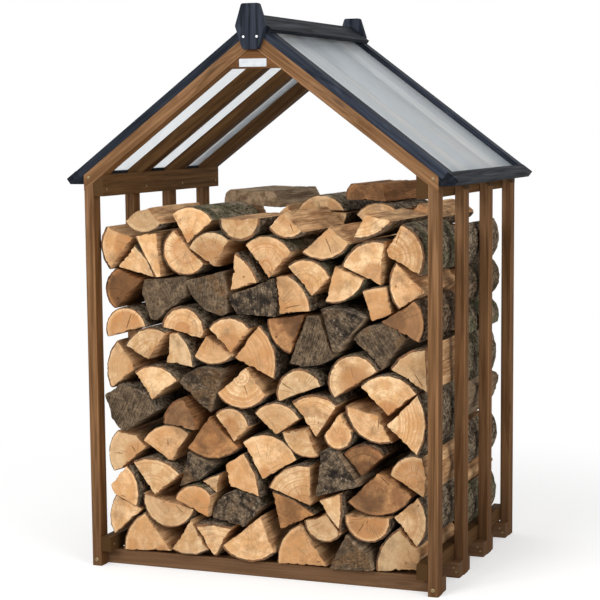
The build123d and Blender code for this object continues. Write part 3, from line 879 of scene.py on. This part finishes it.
def firewood(node, tone):
    """One detailed piece for all the logs of a CAD node."""
    logs, owns = [], []
    for solid in islands(nodes[node].data):
        owns.append(chance.random())
        logs.append(Log(solid, owns[-1]))
    starts = np.cumsum([0] + [len(log.points) for log in logs])
    points = [point for log in logs for point in log.points]
    faces = [tuple(start + i for i in face) for start, log in zip(starts, logs) for face in log.faces]
    mesh = new_mesh("split_" + node, points, faces, LOOKS[tone])
    mesh.polygons.foreach_set("material_index", [kind for log in logs for kind in log.kinds])
    mesh.polygons.foreach_set("use_smooth", [True] * len(faces))
    mesh.set_sharp_from_angle(angle=SHARP_TURN)
    mesh.attributes.new("pith", "FLOAT_VECTOR", "POINT").data.foreach_set(
        "vector", np.concatenate([log.places for log in logs]).ravel()
    )
    values = {
        "own": np.repeat(owns, [len(log.points) for log in logs]),
        "rim": np.concatenate([log.rim for log in logs]),
        "to_bark": np.concatenate([log.to_bark for log in logs]),
        "on_stack_top": np.concatenate([log.on_stack_top for log in logs]),
    }
    for name, value in values.items():
        mesh.attributes.new(name, "FLOAT", "POINT").data.foreach_set("value", value)
    mesh.update()
    piece = new_object("split_" + node, mesh)
    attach(piece, "root")
    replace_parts(piece, node)


for name in sorted(nodes):
    if name.endswith("logs"):
        tone = name.split("_")[1]
        firewood(name, tone if tone in LOOKS else "fresh")

# Dark trims: the left ridge cap, narrower than the right one that laps it,
# and strips under the sheets at the eaves

CAP_TRIM = 0.018
STRIP_WIDE = 0.0115
STRIP_FOOT = 1.180


def trim_piece(name, points, faces):
    """A piece in the paint of the boards that run from front to back."""
    piece = new_object(name, new_mesh(name, points, faces, [paints["y"]]))
    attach(piece, "root")
    return piece


def narrow_cap():
    """The left ridge cap with its lower edge drawn up the slope."""
    node = nodes["left_ridge_cap"]
    places = [node.matrix_world @ vertex.co for vertex in node.data.vertices]
    middle = (min(place.x for place in places) + max(place.x for place in places)) / 2
    shift = Vector((math.cos(SLOPE), 0, math.sin(SLOPE))) * CAP_TRIM
    points = [place + shift if place.x < middle else place for place in places]
    faces = [tuple(face.vertices) for face in node.data.polygons]
    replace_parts(trim_piece("narrow_left_ridge_cap", points, faces), "left_ridge_cap")


def eave_strips(side, side_name):
    """A strip in each bay, from rafter to rafter, against the eave board and the sheet."""
    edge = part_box(f"{side_name}_front_post")[0 if side < 0 else 1].x
    inner = edge - side * STRIP_WIDE
    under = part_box(f"{side_name}_front_rafter")[1].z
    tops = [under - abs(x) * math.tan(SLOPE) for x in (edge, inner)]
    outline = [(edge, STRIP_FOOT), (inner, STRIP_FOOT), (inner, tops[1]), (edge, tops[0])]
    for number, (before, after) in enumerate(zip(ROWS, ROWS[1:])):
        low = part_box(f"{side_name}_{before}_rafter")[1].y
        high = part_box(f"{side_name}_{after}_rafter")[0].y
        points = [(x, y, z) for y in (low, high) for x, z in outline]
        faces = [(0, 1, 2, 3), (7, 6, 5, 4)] + [(i, i + 4, (i + 1) % 4 + 4, (i + 1) % 4) for i in range(4)]
        if side < 0:
            faces = [face[::-1] for face in faces]
        trim_piece(f"{side_name}_eave_strip_{number}", points, faces)


narrow_cap()
for side, side_name in SIDES:
    eave_strips(side, side_name)

# Screws and bolts

# Profile of a head from rim to socket floor, as shares of radius and rise, six-sided below SOCKET
HEAD = [(1.0, 0.0), (0.98, 0.35), (0.86, 0.72), (0.66, 0.95), (0.42, 1.0), (0.34, 0.9), (0.33, 0.35)]
SOCKET = 0.4
TURNS = 36
# Radius, rise and metal of each kind of head
FINIAL_SCREW = (0.0040, 0.0012, zinc)
FOOT_BOLT = (0.0065, 0.0030, yellow_zinc)
RAFTER_BOLT = (0.0048, 0.0020, yellow_zinc)
BEARER_SCREW = (0.0032, 0.001, yellow_zinc)
RAIL_SCREW = (0.0036, 0.001, yellow_zinc)
# How far out from the middle and how high
FINIAL_SCREW_PLACE = (0.0206, 1.5812)
FOOT_BOLT_PLACE = (0.5345, 0.0195)
RAFTER_BOLT_PLACE = (0.5344, 1.182)
BEARER_SCREW_PLACES = ((0.538, 0.018), (0.529, 0.031))
RAIL_SCREW_HEIGHTS = {"top_rail": 1.146, "low_rail": 0.068}


def fastener(name, place, facing, kind):
    """A domed head with a six-sided socket, facing along an axis."""
    radius, rise, look = kind
    points = []
    for share, height in HEAD:
        for turn in range(TURNS):
            angle = 2 * math.pi * turn / TURNS
            reach = radius * share
            if share < SOCKET:
                reach *= math.cos(math.pi / 6) / math.cos(angle % (math.pi / 3) - math.pi / 6)
            points.append((reach * math.cos(angle), reach * math.sin(angle), rise * height))
    faces = []
    for ring in range(len(HEAD) - 1):
        for turn in range(TURNS):
            a, b, after = ring * TURNS, (ring + 1) * TURNS, (turn + 1) % TURNS
            faces.append((a + turn, a + after, b + after, b + turn))
    faces.append(tuple((len(HEAD) - 1) * TURNS + turn for turn in range(TURNS)))
    mesh = new_mesh(name, points, faces, [look])
    mesh.polygons.foreach_set("use_smooth", [len(face) == 4 for face in faces])
    piece = new_object(name, mesh)
    piece.rotation_euler = Vector(facing).to_track_quat("Z", "Y").to_euler()
    piece.location = place
    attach(piece, "root")


def outer_face(node, end):
    """Y of a node's face towards this end."""
    low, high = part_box(node)
    return low.y if end < 0 else high.y


def fix_gables():
    """The finials' screws, and a bolt at the foot and the head of each outermost post."""
    for end, end_name in ENDS:
        finial_face = outer_face(end_name + "_finial", end)
        post_face = outer_face(f"left_{end_name}_post", end)
        fixings = (
            ("finial_screw", finial_face, FINIAL_SCREW_PLACE, FINIAL_SCREW),
            ("foot_bolt", post_face, FOOT_BOLT_PLACE, FOOT_BOLT),
            ("rafter_bolt", post_face, RAFTER_BOLT_PLACE, RAFTER_BOLT),
        )
        for side, side_name in SIDES:
            for name, face, (out, height), kind in fixings:
                fastener(f"{side_name}_{end_name}_{name}", (side * out, face, height), (0, end, 0), kind)


def fix_bearers(side, side_name):
    """Two screws at this side's end of each bearer that lies before its posts."""
    for bearer in ("second_bearer", "third_bearer", "rear_bearer"):
        face = outer_face(bearer, -1)
        for number, (out, height) in enumerate(BEARER_SCREW_PLACES):
            place = (side * out, face, height)
            fastener(f"{side_name}_{bearer}_screw_{number}", place, (0, -1, 0), BEARER_SCREW)


def fix_rails(side, side_name):
    """A screw through each of this side's rails into each post."""
    for row in ROWS:
        low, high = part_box(f"{side_name}_{row}_post")
        for rail_name, height in RAIL_SCREW_HEIGHTS.items():
            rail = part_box(f"{side_name}_{rail_name}")
            inner = rail[1].x if side < 0 else rail[0].x
            place = (inner, (low.y + high.y) / 2, height)
            fastener(f"{side_name}_{row}_{rail_name}_screw", place, (-side, 0, 0), RAIL_SCREW)


fix_gables()
for side, side_name in SIDES:
    fix_bearers(side, side_name)
    fix_rails(side, side_name)

# Floor, light and camera

WHITE = (1.0, 1.0, 1.0, 1.0)
AMBIENT = 0.58
FLOOR_LIFT = 0.42
FLOOR_FADE = (1.0, 2.2)
FLOOR_REACH = 30


def seen_rays(s):
    """1 for rays from the camera, also off shiny and through clear things, 0 for those that only light."""
    rays = s.node("LightPath").outputs
    seen = s.math("MAXIMUM", rays["Is Camera Ray"], rays["Is Glossy Ray"])
    return s.math("MAXIMUM", seen, rays["Is Transmission Ray"])


def lit_floor(name):
    """Pale floor that keeps the shadow, and that the camera sees as white further out."""
    s = Shader(bpy.data.materials.new(name))
    out = s.node("VectorMath", {0: s.place()}, operation="LENGTH").outputs["Value"]
    body = s.node("BsdfDiffuse", {"Color": rgb(222, 222, 222)})
    lift = s.node("Emission", {"Color": WHITE, "Strength": FLOOR_LIFT})
    white = s.node("Emission", {"Color": WHITE, "Strength": 1.0})
    near = s.node("AddShader", {0: body.outputs[0], 1: lift.outputs[0]})
    faded = s.node("MixShader", {0: s.ramp(out, *FLOOR_FADE), 1: near.outputs[0], 2: white.outputs[0]})
    return s.shown(s.node("MixShader", {0: seen_rays(s), 1: body.outputs[0], 2: faded.outputs[0]}))


def studio(name):
    """Even light from all round, white where it is seen."""
    s = Shader(bpy.data.worlds.new(name), "World")
    strength = s.between(seen_rays(s), AMBIENT, 1.0)
    return s.shown(s.node("Background", {"Color": WHITE, "Strength": strength}))


def softbox(name, place, target, size, watts):
    """A square lamp facing the target."""
    data = bpy.data.lights.new(name, "AREA")
    data.shape = "SQUARE"
    data.size = size
    data.energy = watts
    lamp = new_object(name, data)
    lamp.location = place
    lamp.rotation_euler = (Vector(target) - Vector(place)).to_track_quat("-Z", "Y").to_euler()


corners = [(x * FLOOR_REACH, y * FLOOR_REACH, 0) for x, y in ((-1, -1), (1, -1), (1, 1), (-1, 1))]
floor = new_object("floor", new_mesh("floor", corners, [(0, 1, 2, 3)], [lit_floor("floor_white")]))
bpy.context.scene.world = studio("studio")
softbox("key", place=(-1.4, -5.2, 3.0), target=(0, 0, 0.8), size=2.4, watts=184)
softbox("fill", place=(4.2, -3.2, 2.0), target=(0, 0, 0.8), size=2.6, watts=94)
softbox("top", place=(-0.6, 1.2, 4.6), target=(0, 0, 1.4), size=3.0, watts=12)

CAMERA_PLACE = (1.94677, -5.03978, 1.34213)
YAW, PITCH, ROLL = math.radians(21.4256), math.radians(6.8730), math.radians(-0.4969)
data = bpy.data.cameras.new("view")
data.lens = 104.662
data.sensor_width = 36.0
data.shift_x = 0.0019
data.shift_y = 0.0527
camera = new_object("view", data)
camera.location = CAMERA_PLACE
forward = Vector((-math.sin(YAW) * math.cos(PITCH), math.cos(YAW) * math.cos(PITCH), -math.sin(PITCH)))
level = Vector((math.cos(YAW), math.sin(YAW), 0))
raised = level.cross(forward)
across = level * math.cos(ROLL) + raised * math.sin(ROLL)
upward = raised * math.cos(ROLL) - level * math.sin(ROLL)
camera.rotation_euler = Matrix((across, upward, -forward)).transposed().to_euler()
bpy.context.scene.camera = camera
bpy.context.scene.view_settings.view_transform = "Standard"
